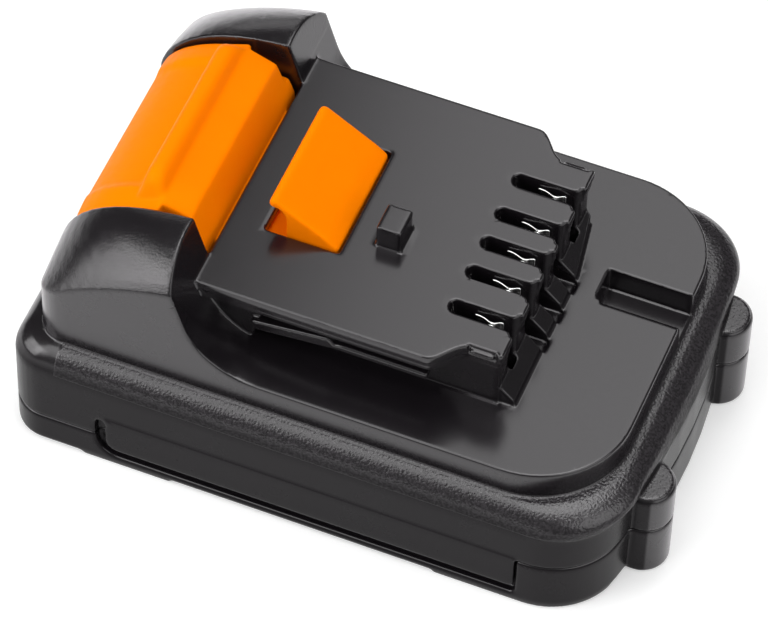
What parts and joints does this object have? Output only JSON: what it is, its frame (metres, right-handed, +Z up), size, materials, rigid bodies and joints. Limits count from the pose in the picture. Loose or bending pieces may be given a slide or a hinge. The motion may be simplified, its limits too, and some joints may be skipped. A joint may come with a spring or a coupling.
{
  "type": "power tool battery pack",
  "caption": "Slide-on power tool battery pack: black two-part case with rounded shoulders, a rail tower with slotted contacts and a sprung orange release latch.",
  "frame": {"origin": "middle of the overall box, on the surface that the feet stand on", "axes": "+X along the pack to the contact end, +Z up"},
  "size_m": [0.097, 0.0644, 0.0451],
  "materials": {
    "case_black": "satin, spark-eroded on the shoulder",
    "latch_orange": "semi-gloss",
    "spring_steel": "bright drawn wire",
    "screw_steel": "blackened",
    "cell_sleeve": "shrink sleeve",
    "nickel": "satin nickel",
    "fibre": "fibre paper",
    "holder_grey": "moulded",
    "board_green": "solder mask",
    "component_black": "moulded",
    "contact_bright": "bright plated"
  },
  "bodies": {
    "housing": {"lower_case": "case_black", "upper_case": "case_black", "latch_spring_left": "spring_steel", "latch_spring_right": "spring_steel", "case_screws": "screw_steel", "cell_left": "cell_sleeve", "cell_middle": "cell_sleeve", "cell_right": "cell_sleeve", "cell_caps": "nickel", "cell_rings": "fibre", "cell_holder_front": "holder_grey", "cell_holder_rear": "holder_grey", "strip_negative": "nickel", "strip_link_front": "nickel", "strip_link_rear": "nickel", "strip_positive": "nickel", "insulator_front": "fibre", "insulator_rear": "fibre", "circuit_board": "board_green", "board_components": "component_black", "thermistor": "component_black", "contact_carrier": "component_black", "contact_negative": "contact_bright", "contact_tap_low": "contact_bright", "contact_sense": "contact_bright", "contact_tap_high": "contact_bright", "contact_positive": "contact_bright"},
    "latch": {"release_latch": "latch_orange"}
  },
  "joints": [
    {"name": "latch_press", "type": "slide", "parent": "housing", "child": "latch", "axis": [0, 0, -1], "range_m": [0, 0.0065], "stiffness_N_per_m": 1500, "springref_m": -0.004, "deforming": ["latch_spring_left", "latch_spring_right"]}
  ]
}
